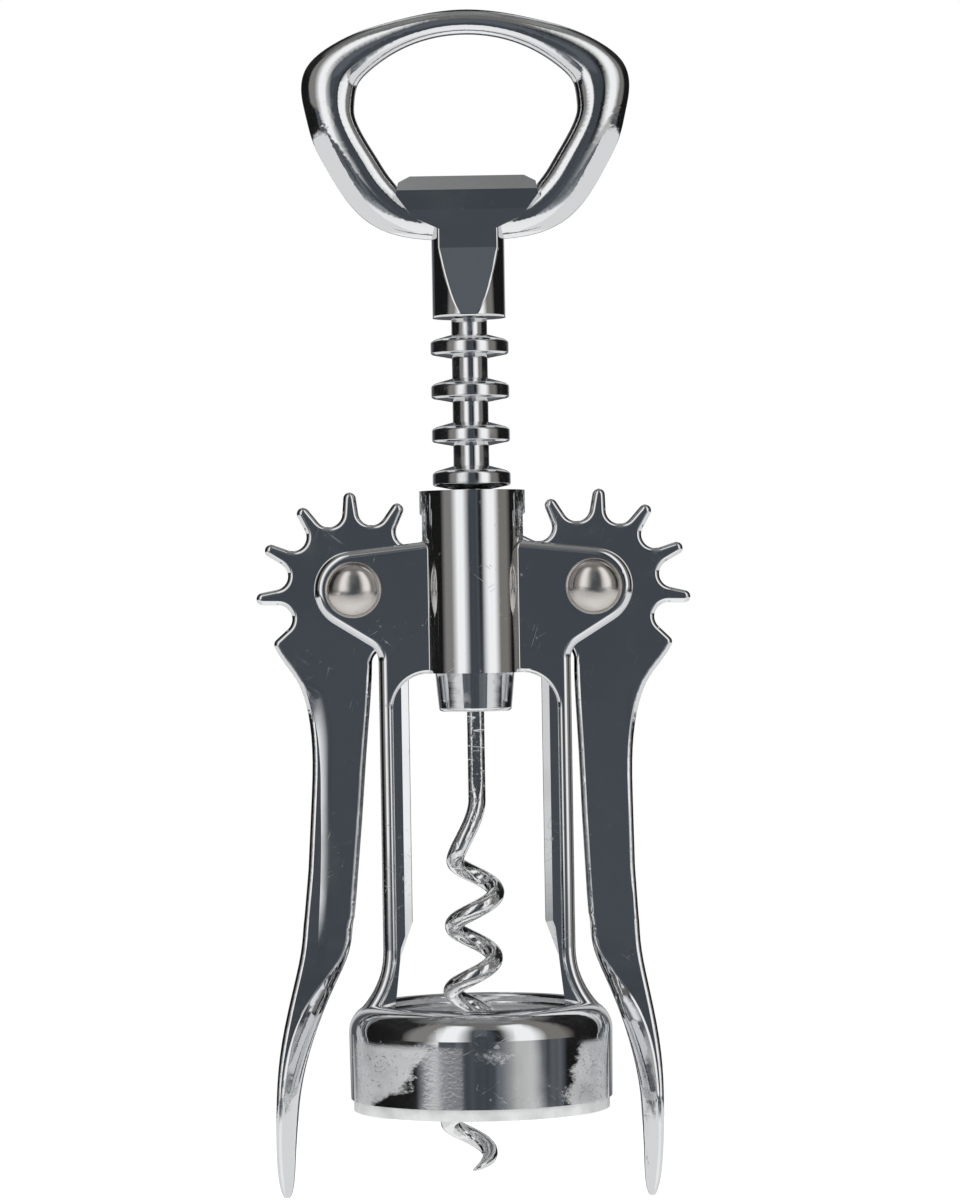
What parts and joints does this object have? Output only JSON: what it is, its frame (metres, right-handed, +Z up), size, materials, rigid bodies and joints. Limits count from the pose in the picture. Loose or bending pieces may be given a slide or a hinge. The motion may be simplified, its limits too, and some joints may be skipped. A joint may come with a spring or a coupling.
{
  "type": "wing corkscrew",
  "caption": "Two-lever wing corkscrew: a bell frame, toothed side levers that drive a ringed rack, a worm, and a top handle loop that also lifts crown caps.",
  "frame": {"origin": "centre of the bell's mouth, on the plane that rests on the bottle", "axes": "+Z up along the worm's axis, X across the two levers, the front is -Y"},
  "size_m": [0.0676, 0.041, 0.1856],
  "materials": {
    "cast_chrome": "bright plating on polished casting",
    "turned_chrome": "bright plating on turned steel",
    "worm_chrome": "plating over rough drawn wire",
    "rivet_steel": "dull tumbled steel",
    "liner_plastic": "pale moulded plastic"
  },
  "bodies": {
    "frame": {"frame": "cast_chrome", "bell_liner": "liner_plastic", "left_rivet": "rivet_steel", "right_rivet": "rivet_steel"},
    "rack": {"rack_sleeve": "turned_chrome"},
    "handle": {"handle": "cast_chrome", "worm": "worm_chrome", "nose_ferrule": "turned_chrome"},
    "left_lever": {"left_lever": "cast_chrome"},
    "right_lever": {"right_lever": "cast_chrome"}
  },
  "joints": [
    {"name": "rack_slide", "type": "slide", "parent": "frame", "child": "rack", "axis": [0, 0, -1], "range_m": [0, 0.0339]},
    {"name": "handle_turn", "type": "hinge", "parent": "rack", "child": "handle", "pos_m": [0, 0, 0.1], "axis": [0, 0, 1], "continuous": true},
    {"name": "left_lever_pivot", "type": "hinge", "parent": "frame", "child": "left_lever", "pos_m": [-0.0187, 0, 0.0811], "axis": [0, 1, 0], "range_deg": [0, 155]},
    {"name": "right_lever_pivot", "type": "hinge", "parent": "frame", "child": "right_lever", "pos_m": [0.0187, 0, 0.0811], "axis": [0, -1, 0], "range_deg": [0, 155]}
  ],
  "couplings": [
    {"joint": "left_lever_pivot", "follows": "rack_slide", "rad_per_m": 79.239},
    {"joint": "right_lever_pivot", "follows": "rack_slide", "rad_per_m": 79.239}
  ]
}
